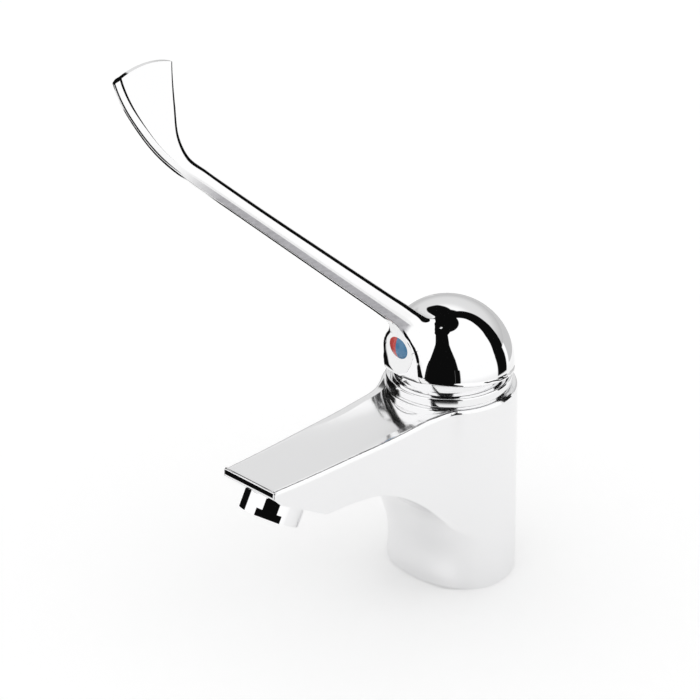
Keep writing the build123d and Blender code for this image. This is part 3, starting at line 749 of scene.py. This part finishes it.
def domeAndHollow(pivot, path, around, turn):
    # Rings from the rim over the egg towards the bar's axis, and inside from the lip to the top
    # of the hollow, which steps in to a smaller ball.
    shape = leverShape
    a = math.radians(shape["rimLeanDeg"])
    rimUp = np.array([0.0, math.sin(a), math.cos(a)])
    rimBack = np.array([0.0, math.cos(a), -math.sin(a)])
    even = np.linspace(0, 2 * np.pi, len(turn), endpoint=False)
    rimSide = roundAbout(turn * (1 - shape["rimEven"]) + even * shape["rimEven"], rimBack)
    rimWay = unit(np.array(shape["rimPoint"]) + rimSide * (shape["lipRadius"] - shape["lipInset"]) - pivot)
    near = math.radians(shape["openDeg"][0])
    nearWay = math.cos(near) * path + math.sin(near) * around
    w = np.linspace(0, 1, shape["domeRings"])[:, None, None]
    ways = slerp(rimWay[None], nearWay[None], w)
    dome = castRays(np.broadcast_to(pivot, ways.shape), ways, shape["domeReach"])
    drop = np.dot(pivot - np.array(shape["rimPoint"]), rimUp)
    centre = pivot - rimUp * drop
    innerWay = unit(centre + rimSide * math.sqrt(shape["cavityRadius"] ** 2 - drop ** 2) - pivot)
    w = np.linspace(0, 1, shape["hollowRings"])[:-1, None, None]
    ways = slerp(innerWay[None], np.broadcast_to(rimUp, innerWay.shape)[None], w)
    stepAt, stepOver = shape["cavityStep"]
    stepped = np.clip((w - stepAt) / stepOver, 0, 1)
    radius = shape["cavityRadius"] + (shape["cavityTopRadius"] - shape["cavityRadius"]) * stepped
    foot = centre + rimSide * (shape["lipRadius"] - shape["lipFootInset"])
    pole = pivot + rimUp * shape["cavityTopRadius"]
    return np.concatenate([(pivot + ways * radius)[::-1], foot[None], dome]), pole


def rootAndBar(pivot, path, around):
    # Rings round the root, whose origin slides out along the axis as the rays open to square,
    # then up the straight bar, first cast and then laid from the sections.
    shape = leverShape
    root = np.array(shape["barRoot"])
    axisFoot = root - path * np.dot(root - pivot, path)
    opened, smooth = shape["openDeg"], shape["slideSmooth"]
    deg = np.linspace(opened[0], opened[-1], shape["rootRings"] + 1)[1:]
    outward = np.interp(deg, opened, shape["openSlide"])
    outward = np.pad(outward, smooth // 2, mode="reflect", reflect_type="odd")
    outward = np.convolve(outward, np.ones(smooth) / smooth, "valid")
    lift = np.interp(outward, [0.0, shape["onAxisAt"]], [0.0, 1.0])[:, None]
    onAxis = pivot + (axisFoot - pivot) * lift + path * outward[:, None]
    deg = np.radians(deg)[:, None, None]
    ways = np.cos(deg) * path + np.sin(deg) * around[None]
    rootPoints = castRays(np.broadcast_to(onAxis[:, None], ways.shape), ways, shape["rootReach"])
    startAt = np.dot(onAxis[-1] - root, path)
    straight = np.hypot(*(leverStations[barEnd, :2] - leverStations[0, :2]))
    share = np.linspace(0, 1, shape["barRings"] + 1)[1:] ** shape["barSpacing"]
    run = startAt + (straight - startAt) * share
    laid = placeSections(alongStations(run / straight * barEnd))
    centres = root + path * run[:, None]
    ways = np.broadcast_to(around[None], laid.shape)
    cast = castRays(np.broadcast_to(centres[:, None], ways.shape), ways, shape["barReach"],
                    shape["barSteps"])
    share = np.clip((run - startAt) / shape["barTakeOver"], 0, 1)
    share = (share * share * (3 - 2 * share))[:, None, None]
    return rootPoints, cast * (1 - share) + laid * share


def paddle():
    # Rings up the paddle: every line of the sections runs on to the round crown, and is then
    # sampled evenly over its own length.
    shape = leverShape
    count = shape["paddleLines"]
    lines = placeSections(alongStations(np.linspace(barEnd, len(leverStations) - 1, count)))
    cy, cz = shape["crownCentre"]
    gap = np.hypot(lines[..., 1] - cy, lines[..., 2] - cz) - shape["crownRadius"]
    i = np.argmax((gap > 0) & (lines[..., 2] > cz), 0)
    j = np.arange(lines.shape[1])
    end = i - 1 + gap[i - 1, j] / (gap[i - 1, j] - gap[i, j])
    where = np.linspace(0, 1, shape["paddleRings"] + 1)[1:, None] * end[None]
    low = where.astype(int)
    f = (where - low)[..., None]
    cols = np.broadcast_to(j, low.shape)
    return lines[low, cols] * (1 - f) + lines[np.minimum(low + 1, count - 1), cols] * f


def linishAndShadeShare(rings, count, barCount, paddleCount):
    # Share of each point, ring by ring: 1 on the bar's lower facet to each side, fading into the
    # root and the paddle, and 0 elsewhere; there the streaked finish and its painted shade go.
    shape = leverShape
    perFace = shape["facePoints"] + shape["roundPoints"]
    order = np.minimum(np.arange(count), count - np.arange(count))
    first = shape["linishShadeFace"] * perFace + shape["roundPoints"] // 2
    facet = (order >= first) & (order <= first + perFace)
    row = np.arange(rings)
    begin = rings - paddleCount - barCount - shape["linishShadeBefore"]
    stop = rings - paddleCount + shape["linishShadeAfter"]
    along = (np.clip((row - begin) / shape["linishShadeComeIn"], 0, 1)
             * np.clip((stop - row) / shape["linishShadeGoOut"], 0, 1))
    return (along[:, None] * facet[None, :].astype(float)).ravel()


def buildLever():
    # One grid of rings: down the hollow's wall from its top to the lip, over the egg, out along the
    # bar's root, up the bar and the paddle, with a cap across the crown.
    pivot = np.array(leverShape["pivot"])
    t = math.radians(leverShape["barDeg"])
    path = np.array([0.0, -math.cos(t), math.sin(t)])
    square = np.array([0.0, math.sin(t), math.cos(t)])
    section = sectionLoop(leverStations[:1])[0]
    turn = np.unwrap(np.arctan2(section[:, 0], section[:, 1]))
    around = roundAbout(turn, square)
    dome, pole = domeAndHollow(pivot, path, around, turn)
    root, bar = rootAndBar(pivot, path, around)
    blade = paddle()
    grid = np.concatenate([dome, root, bar, blade])
    rings, count = grid.shape[:2]
    points = np.concatenate([grid.reshape(-1, 3), pole[None]])
    # crown cap: strips straight across between each point and its mirror image
    base, half = (rings - 1) * count, count // 2
    k = np.arange(1, half - 1)
    cap = np.stack([base + k, base + k + 1, base + count - k - 1, base + count - k], -1)
    ends = [(base, base + 1, base + count - 1), (base + half - 1, base + half, base + half + 1)]
    # fan that closes the top of the hollow
    j = np.arange(count)
    fan = np.stack([np.full(count, rings * count), (j + 1) % count, j], -1)
    quads = np.concatenate([gridFaces(rings, count), cap])
    piece = newPiece("leverCasting", points, quads, np.concatenate([fan, np.array(ends)]), castChrome,
                     leverShape["sharpDeg"])
    # share of the streaked finish, whose dark tint paints the shade of the lower facet
    share = np.append(linishAndShadeShare(rings, count, len(bar), len(blade)), 0.0)
    piece.data.attributes.new("linishAndShade", "FLOAT", "POINT").data.foreach_set("value", share)
    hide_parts("elbow_lever")
    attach(piece, "lever")
    print("lever casting,", len(points), "points")


def ballArc(radius, low, high, count):
    # Radius and height along a ball centred on the lever's pivot, evenly spaced in height.
    height = np.linspace(low, high, count)
    across = np.sqrt(radius ** 2 - (height - leverShape["pivot"][2]) ** 2)
    return [tuple(pair) for pair in np.stack([across, height], 1)]


# Turned chrome between the body and the lever's dome, as profiles of radius and height in
# millimetres, with how far their corners are rounded
turnedRings = {
    "collarShell": {
        "replaces": "cover_collar", "slot": "chrome_collar", "body": "root",
        "profile": (*ballArc(23.3, 86.3, 97.0, 30), *ballArc(21.5, 97.0, 86.3, 12), (20.4, 84.6),
                    (21.9, 84.6), (21.9, 86.25)),
        "round": 0,
    },
    "trimRing": {
        "replaces": "trim_ring", "slot": "chrome_trim", "body": "root",
        "profile": ((22.0, 82.0), (24.1, 82.0), (24.2, 82.35), (24.7, 82.35), (25.0, 82.65),
                    (25.0, 85.6), (24.85, 86.05), (24.4, 86.2), (22.0, 86.2)),
        "round": 0.18,
    },
    "neckSkin": {
        "slot": "chrome_body", "body": "root",
        "profile": ((23.5, 76.0), (24.97, 76.0), (24.97, 77.9), (25.15, 78.25), (25.57, 78.45),
                    (25.57, 81.2), (25.3, 81.62), (24.3, 81.62), (23.5, 81.62)),
        "round": 0.18,
    },
}


def roundCorners(profile, radius, points=6, most=0.45):
    # Every corner of the profile becomes a short parabola between points a radius away, or no
    # more than a share of the way to its nearer neighbour.
    after, before = np.roll(profile, -1, 0) - profile, np.roll(profile, 1, 0) - profile
    nearer = np.minimum(np.linalg.norm(after, axis=1), np.linalg.norm(before, axis=1))
    reach = np.minimum(radius, most * nearer)[:, None]
    start, end = profile + unit(before) * reach, profile + unit(after) * reach
    t = np.linspace(0, 1, points)[None, :, None]
    curve = (1 - t) ** 2 * start[:, None] + 2 * t * (1 - t) * profile[:, None] + t ** 2 * end[:, None]
    return curve.reshape(-1, 2)


def buildTurned(segments=288, sharpDeg=40.0):
    # Closed profiles swept round the axis: radius times sine and minus cosine of the turn.
    for name, ring in turnedRings.items():
        profile = np.array(ring["profile"], float)
        if ring["round"]:
            profile = roundCorners(profile, ring["round"])
        count = len(profile)
        turn = np.linspace(0, 2 * np.pi, segments, endpoint=False)[:, None]
        points = np.stack([profile[:, 0] * np.sin(turn), -profile[:, 0] * np.cos(turn),
                           np.broadcast_to(profile[:, 1], (segments, count))], -1).reshape(-1, 3)
        quads = gridFaces(segments + 1, count) % (segments * count)  # the last ring is the first
        piece = newPiece(name, points, quads, np.empty((0, 3), int), ringChrome, sharpDeg)
        if "replaces" in ring:
            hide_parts(ring["replaces"])
        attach(piece, ring["body"])
    print("turned rings,", len(turnedRings))


# Rounded front edge of the spout, in millimetres: half width, place and half height, how far it
# stands out in front and behind, its lean back, how square it is, and what is left at its ends
noseStrip = {
    "half": 14.28,
    "ahead": 106.5,
    "level": 75.32,
    "rise": 1.72,
    "bulge": 1.0,
    "back": 0.6,
    "lean": 0.09,
    "squareness": 0.6,
    "endPower": 40,
    "endBulge": 0.35,
    "endRise": 0.85,
    "sharpDeg": 50.0,
}


def buildNose(across=96, around=64):
    # Flattened bar run along X, whose back lies in the spout: the bulge goes with a power of the
    # cosine and the height with the same power of the sine, leaning back a little; both ends draw
    # in with the root of one less a high power of the way out to them.
    shape = noseStrip
    x = shape["half"] * np.sin(np.linspace(-1, 1, across) * np.pi / 2)
    draw = (1 - np.abs(x / shape["half"]) ** shape["endPower"])[:, None] ** 0.5
    a = np.linspace(0, 2 * np.pi, around, endpoint=False)
    bulge = np.where(np.cos(a) > 0, shape["bulge"], shape["back"])
    out = bulge * np.sign(np.cos(a)) * np.abs(np.cos(a)) ** shape["squareness"]
    up = shape["rise"] * np.sign(np.sin(a)) * np.abs(np.sin(a)) ** shape["squareness"]
    y = (-shape["ahead"] - out[None] * (shape["endBulge"] + (1 - shape["endBulge"]) * draw)
         + shape["lean"] * up[None])
    z = shape["level"] + up[None] * (shape["endRise"] + (1 - shape["endRise"]) * draw)
    points = np.stack([np.broadcast_to(x[:, None], y.shape), y, z], -1).reshape(-1, 3)
    # a fan closes each end, turned to face outwards
    k = np.arange(1, around - 1)
    last = (across - 1) * around
    near = np.stack([0 * k, k, k + 1], -1)
    far = np.stack([last + 0 * k, last + k, last + k + 1], -1)[:, ::-1]
    quads = gridFaces(across, around)[:, ::-1]
    piece = newPiece("noseStrip", points, quads, np.concatenate([near, far]), chrome, shape["sharpDeg"])
    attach(piece, "root")
    print("nose strip")


buildCamera()
buildWorld()
buildFloor()
bpy.context.scene.view_settings.view_transform = "Standard"
print("studio set")
buildLever()
buildTurned()
buildNose()
